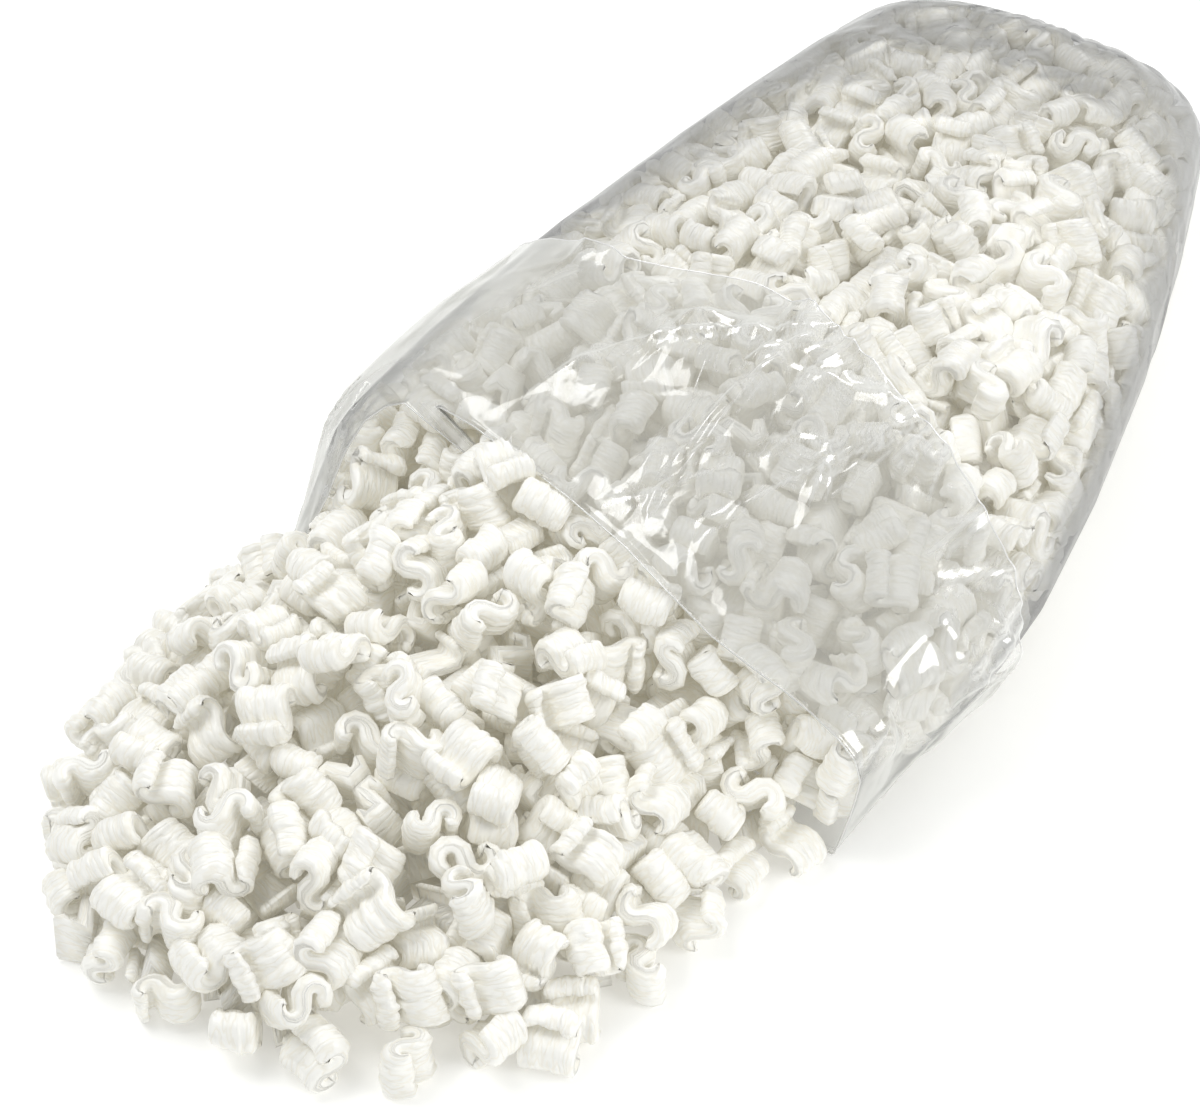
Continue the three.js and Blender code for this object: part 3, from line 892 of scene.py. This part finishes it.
def build_cuff(form, material):
    """The mouth's film folded back over the outside, crumpled and cloudy from handling."""
    angles = np.linspace(0, 2 * math.pi, CUFF_AROUND, endpoint=False)
    rim, free_edge = form.round_bag(form.rim, angles), form.round_bag(form.cuff_edge, angles)
    steps = np.linspace(0, 1, CUFF_ROWS)[:, None]
    points = form.cast_points(angles, rim + (free_edge - rim) * steps)
    normals = outward(points, form.centre(points[..., 1]))
    from_rim = (points[..., 1] - rim) / steepness(rim)
    rising = smoothstep(0, 0.005, from_rim)
    free = smoothstep(0, 0.03, from_rim)
    upper = smoothstep(0.02, 0.09, points[..., 2])
    rightward = smoothstep(-0.08, 0.12, points[..., 0])
    patch = smoothstep(0.2, 0.8, value_noise(points, 0.06, 21) + 0.8 * rightward)
    strength = upper * (0.05 + 0.95 * patch)
    round_it = ((angles + math.pi / 2) % (2 * math.pi)) * MEAN_RADIUS + 0 * from_rim
    crumple = sum(height * (1 + facets(round_it, from_rim, size, seed))
                  for height, size, seed in CRUMPLES)
    folds = random_creases(points, normals, *CUFF_FOLDS, strength * steps, DOWN_RIGHT)
    on_right = smoothstep(0.09, 0.19, points[..., 0])
    folds += random_creases(points, normals, *RIGHT_FOLDS, upper * free * on_right, UP_RIGHT)
    rumple = 0.0007 * (1 + value_noise(points, 0.05, 22))
    flare = FLAP_REACH * np.exp(-((angles - FLAP_AT) / FLAP_WIDTH) ** 2) * (
        1 - smoothstep(0.05, 0.17, from_rim))
    loose = 0.0006 * smoothstep(0.9, 1, steps) * (1 + value_noise(points, 0.035, 23)) * upper
    lift = CUFF_LIFT * rising + free * (strength * crumple + folds * (0.3 + 0.7 * strength)
                                        + rumple * upper + flare + loose)
    placed = points + normals * lift[..., None]
    placed[..., 2] = np.maximum(placed[..., 2], 0.0003)
    crease = sharpness(strength * (crumple + folds))
    # Sharp crumples and folds are cloudier: partly the whitening of creased film, partly painted
    # glints.
    haze = CUFF_HAZE + 0.05 * value_noise(points, 0.09, 24) + 0.3 * crease * strength
    film_piece("bag_film_cuff", placed, haze, material)
    return placed[0], placed[-1]


def film_piece(name, grid, haze, material, closed=False):
    obj = make_mesh(name, grid.reshape(-1, 3), grid_faces(*grid.shape[:2], closed),
                    attributes=[("haze", "FLOAT", haze)])
    obj.data.materials.append(material)
    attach(obj, "root")
    return obj


def bead(name, path, radius, haze, material, sides=6):
    """A thin rolled edge along a closed path round the bag."""
    ahead = np.roll(path, -1, 0) - np.roll(path, 1, 0)
    ahead /= np.linalg.norm(ahead, axis=1)[:, None]
    side = np.cross(ahead, [0, 1, 0])
    side /= np.linalg.norm(side, axis=1)[:, None]
    third = np.cross(side, ahead)
    turn = np.linspace(0, 2 * math.pi, sides, endpoint=False)[:, None, None]
    rings = path[None] + radius * (np.cos(turn) * side[None] + np.sin(turn) * third[None])
    rings[..., 2] = np.maximum(rings[..., 2], 0.0002)
    return film_piece(name, rings, np.full(rings.shape[:2], haze), material, closed=True)


def build_seal(form, material):
    """The heat seal across the closed end: two layers welded flat, with fine ribs across it."""
    side_to_side = np.linspace(-1, 1, SEAL_ACROSS)[:, None]
    x = form.centre(form.seal_y) + side_to_side * (SEAL_HALF_WIDTH + 0.001)
    y = form.seal_y - 0.001 + np.linspace(0, 1, SEAL_ROWS)[None] * SEAL_DEPTH
    ribs = 0.00025 * np.sin(y * 2 * math.pi / 0.0025)
    top = np.stack([x + 0 * y, y + 0 * x, SEAL_HEIGHT + seal_wave(x) + ribs + 0.0005], -1)
    bottom = top - [0, 0, 0.001]
    grid = np.concatenate([top, bottom[:, ::-1]], 1)
    return film_piece("bag_film_seal", grid, np.full(grid.shape[:2], SEAL_HAZE), material)


# ---------------- materials


def new_material(name, **settings):
    """A material, its nodes and links, and its shader with some of its sockets set."""
    material = bpy.data.materials.new(name)
    material.use_nodes = True
    # None of these shines enough to be worth sampling as a light.
    material.cycles.emission_sampling = "NONE"
    nodes = material.node_tree.nodes
    shader = nodes["Principled BSDF"]
    for socket, value in settings.items():
        shader.inputs[socket.replace("_", " ")].default_value = value
    return material, nodes, material.node_tree.links, shader


def link_maths(nodes, links, operation, value, number=0.0):
    """A maths node between a socket and a number."""
    maths = nodes.new("ShaderNodeMath")
    maths.operation = operation
    links.new(value, maths.inputs[0])
    maths.inputs[1].default_value = number
    return maths.outputs["Value"]


def link_noise(nodes, links, place, scale, detail):
    noise = nodes.new("ShaderNodeTexNoise")
    noise.inputs["Scale"].default_value = scale
    noise.inputs["Detail"].default_value = detail
    links.new(place, noise.inputs["Vector"])
    return noise.outputs["Fac"]


def link_bump(nodes, links, height, distance, strength, under=None):
    bump = nodes.new("ShaderNodeBump")
    bump.inputs["Strength"].default_value = strength
    bump.inputs["Distance"].default_value = distance
    links.new(height, bump.inputs["Height"])
    if under:
        links.new(under, bump.inputs["Normal"])
    return bump.outputs["Normal"]


def link_range(nodes, links, value, numbers, kind="LINEAR"):
    """A value carried from one range to another; numbers are both ranges' ends."""
    ranged = nodes.new("ShaderNodeMapRange")
    ranged.interpolation_type = kind
    for socket, number in zip(("From Min", "From Max", "To Min", "To Max"), numbers):
        ranged.inputs[socket].default_value = number
    links.new(value, ranged.inputs["Value"])
    return ranged.outputs["Result"]


def link_ramp(nodes, links, value, stops):
    """A colour by value, from stops of a position and a colour each."""
    ramp = nodes.new("ShaderNodeValToRGB")
    elements = ramp.color_ramp.elements
    for _ in stops[2:]:
        elements.new(0.5)
    for element, (position, colour) in zip(elements, stops):
        element.position = position
        element.color = (*colour, 1)
    links.new(value, ramp.inputs["Fac"])
    return ramp.outputs["Color"]


def attribute(nodes, name):
    node = nodes.new("ShaderNodeAttribute")
    node.attribute_name = name
    return node


def foam_material():
    """White expanded foam: a pearly skin, finely ribbed along the way it was pushed out. It is
    thin enough to let light through; that is painted on as a faint glow, painted light that lifts
    its shade, and the creases between its ribs are painted darker and warmer as shade."""
    # The foam's emission is painted light: a faint warm glow that lifts its shade.
    material, nodes, links, shader = new_material(
        "foam", Roughness=0.36, Specular_IOR_Level=0.6,
        Emission_Color=FOAM_PAINTED_GLOW, Emission_Strength=0.065)
    own = attribute(nodes, "own_place").outputs["Vector"]
    scale = nodes.new("ShaderNodeMapping")
    scale.vector_type = "POINT"
    scale.inputs["Scale"].default_value = RIB_SCALE
    links.new(own, scale.inputs["Vector"])
    noise = link_noise(nodes, links, scale.outputs["Vector"], 1.0, 1.5)
    ribs = link_maths(nodes, links, "ABSOLUTE", link_maths(nodes, links, "SUBTRACT", noise, 0.5))
    grain = link_noise(nodes, links, own, 700.0, 2.0)
    fine = link_bump(nodes, links, grain, 0.0003, 0.25)
    links.new(link_bump(nodes, links, ribs, 0.0034, 0.75, fine), shader.inputs["Normal"])
    # The creases between the ribs get the ramp's darker, warmer colour: painted shade.
    links.new(link_ramp(nodes, links, ribs, FOAM_COLOURS_WITH_CREASE_SHADE), shader.inputs["Base Color"])
    return material


def film_material():
    """Clear polyethylene: as cloudy as its haze says where it is seen square on. Where it is seen
    edge on it has no gloss and is painted grey: painted shade in place of the dark surroundings
    that the film shows there."""
    material, nodes, links, shader = new_material("film", Roughness=0.13, IOR=2.3)
    place = nodes.new("ShaderNodeTexCoord").outputs["Object"]
    rumples = link_noise(nodes, links, place, 45.0, 1.0)
    links.new(link_bump(nodes, links, rumples, 0.0006, 0.4), shader.inputs["Normal"])
    haze = attribute(nodes, "haze").outputs["Fac"]
    # The haze picks the film's colour. The dark grey of the clear body is painted shade for its
    # edge-on band, and the whiter folds are partly painted glints.
    links.new(link_ramp(nodes, links, haze, FILM_HAZE_AND_EDGE_SHADE_COLOURS), shader.inputs["Base Color"])
    weight = nodes.new("ShaderNodeLayerWeight")
    weight.inputs["Blend"].default_value = 0.5
    edge_on = link_range(nodes, links, weight.outputs["Facing"], (0.42, 0.93, 0, 1), "SMOOTHSTEP")
    gloss = link_range(nodes, links, edge_on, (0, 0.35, 1, 0.03))
    links.new(gloss, shader.inputs["Specular IOR Level"])
    # Edge on, the film is mostly its coloured shader, so its clear body shows a painted grey band
    # there.
    share = nodes.new("ShaderNodeMix")
    share.inputs[3].default_value = EDGE_ON_SHARE
    links.new(edge_on, share.inputs[0])
    links.new(haze, share.inputs[2])
    clear = nodes.new("ShaderNodeBsdfTransparent")
    mix = nodes.new("ShaderNodeMixShader")
    links.new(share.outputs[0], mix.inputs["Fac"])
    links.new(clear.outputs["BSDF"], mix.inputs[1])
    links.new(shader.outputs["BSDF"], mix.inputs[2])
    links.new(mix.outputs["Shader"], nodes["Material Output"].inputs["Surface"])
    return material


def floor_material():
    return new_material(
        "floor", Base_Color=FLOOR_COLOUR, Roughness=0.9, Specular_IOR_Level=0.0,
        Emission_Color=FLOOR_GLOW, Emission_Strength=0.2)[0]


# ---------------- stage


def aimed(name, data, place, way):
    """A camera or a light at a place, facing a way."""
    obj = bpy.data.objects.new(name, data)
    bpy.context.scene.collection.objects.link(obj)
    obj.location = place
    obj.rotation_mode = "QUATERNION"
    obj.rotation_quaternion = way.to_track_quat("-Z", "Y")
    return obj


def make_camera():
    """At the photograph's viewing angle: from the front right, 40 degrees above the floor."""
    level = math.cos(CAMERA_ELEVATION)
    back = Vector((math.sin(CAMERA_AZIMUTH) * level, -math.cos(CAMERA_AZIMUTH) * level,
                   math.sin(CAMERA_ELEVATION)))
    data = bpy.data.cameras.new("camera")
    data.sensor_width = SENSOR
    data.lens = LENS
    place = Vector(CAMERA_TARGET) + back * CAMERA_DISTANCE
    bpy.context.scene.camera = aimed("camera", data, place, -back)


def area_light(name, place, target, size, watts):
    light = bpy.data.lights.new(name, "AREA")
    light.shape = "RECTANGLE"
    light.size, light.size_y = size
    light.energy = watts
    aimed(name, light, place, Vector(target) - Vector(place))


def make_stage():
    corners = FLOOR_SIZE * np.array([(-1, -1, 0), (1, -1, 0), (1, 1, 0), (-1, 1, 0)])
    floor = make_mesh("floor", corners - [0, 0, FLOOR_DROP], np.array([[0, 1, 2, 3]]), smooth=False)
    floor.data.materials.append(floor_material())
    world = bpy.data.worlds.new("world")
    world.use_nodes = True
    background = world.node_tree.nodes["Background"]
    background.inputs["Color"].default_value = WORLD_COLOUR
    background.inputs["Strength"].default_value = WORLD_STRENGTH
    bpy.context.scene.world = world
    bpy.context.scene.view_settings.view_transform = "Standard"
    bpy.context.scene.cycles.max_bounces = MAX_BOUNCES
    for light in LIGHTS:
        area_light(*light)


# ---------------- building it


def start_places(space):
    """Even places through the space, shaken about."""
    low, high = np.array(CAD_BOX[0]), np.array(CAD_BOX[1])
    cells = np.ceil((high - low) / PITCH).astype(int)
    i, j, k = (v.ravel() for v in np.meshgrid(*(np.arange(c) for c in cells), indexing="ij"))
    places = low + PITCH * (np.stack([i, j, k], 1) + 0.5)
    places += RNG.uniform(-0.25, 0.25, places.shape) * PITCH
    inside, _ = space.sample(places)
    return places[inside > START_INSIDE]


def peanut_template():
    """Points on the S's edge, to find each CAD peanut's turn by."""
    one = [np.array([value]) for value in (HOOK_RADIUS, HOOK_TURN, MIDDLE_LENGTH)]
    curve, direction = centre_line(np.linspace(-1, 1, 61), *one)
    across = np.stack([direction[0, :, 1], -direction[0, :, 0]], 1) * RIBBON / 2
    return np.concatenate([curve[0] + across, curve[0] - across])


def settled_peanuts(space):
    """The places and turns of all the peanuts, the CAD ones first, and how many those are."""
    template = peanut_template()
    poses = [pose_of(name, template) for name in PEANUT_NODES]
    held_centres, held_turns = (np.array(values) for values in zip(*poses))
    places = start_places(space)
    gap = np.linalg.norm(places[:, None] - held_centres[None], axis=2).min(1)
    places = places[gap > START_GAP]
    centres = np.concatenate([held_centres, places])
    turns = np.concatenate([held_turns, random_rotations(len(places))])
    held = np.arange(len(centres)) < len(poses)
    steps = SETTLE_STEPS
    centres, turns = settle(space, centres, turns, held, steps)
    return centres, turns, held


def build_peanuts(space):
    """Every peanut, finer where it can be seen. Returns the points of those by the film."""
    centres, turns, held = settled_peanuts(space)
    foam = foam_material()
    depth, inward = space.sample(centres)
    in_bag = space.behind_rim(centres) & ~held
    on_floor = inward[:, 2] > ON_FLOOR
    hidden = (depth > SEEN_DEPTH) | on_floor
    hidden &= ~in_bag | (space.past_rim(centres) > SEEN_PAST_RIM) | (depth > 2 * SEEN_DEPTH)
    deep = hidden & ((depth > DEEP) | on_floor)
    groups = {
        "heap_peanuts": (~in_bag & ~hidden) | held,
        "bag_peanuts": in_bag & ~hidden,
        "inner_peanuts": hidden & ~deep & ~held,
        "core_peanuts": deep & (depth <= UNSEEN) & ~held,
    }
    by_film = []
    seed = 0
    for name, chosen in groups.items():
        group = np.flatnonzero(chosen)
        group = group[np.argsort(centres[group, 1])]
        rows, stations = DETAIL[name]
        each = 2 * rows * 2 * (stations + len(TIP_ANGLES)) + 4 * stations
        parts = max(1, math.ceil(len(group) * each / MOST_TRIANGLES))
        for index, part in enumerate(np.array_split(group, parts)):
            obj, points = peanuts_object(f"{name}_{index + 1}", space, centres[part], turns[part],
                                         rows, stations, seed, foam)
            by_film.append(points)
            seed += 1
            if index == 0 and name in STANDS_FOR:
                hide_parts(*STANDS_FOR[name])
    return np.concatenate(by_film)


def main():
    form = BagForm()
    grid = body_grid(form)
    space = Space(form, grid[:BODY_ROWS])
    fill = build_peanuts(space)
    film = film_material()
    body = build_body(form, grid, fill, film)
    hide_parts("bag_film")
    rim, free_edge = build_cuff(form, film)
    bead("bag_film_rim", rim, RIM_BEAD, RIM_HAZE, film)
    bead("bag_film_cuff_edge", free_edge, EDGE_BEAD, EDGE_HAZE, film)
    build_seal(form, film)
    make_camera()
    make_stage()


main()
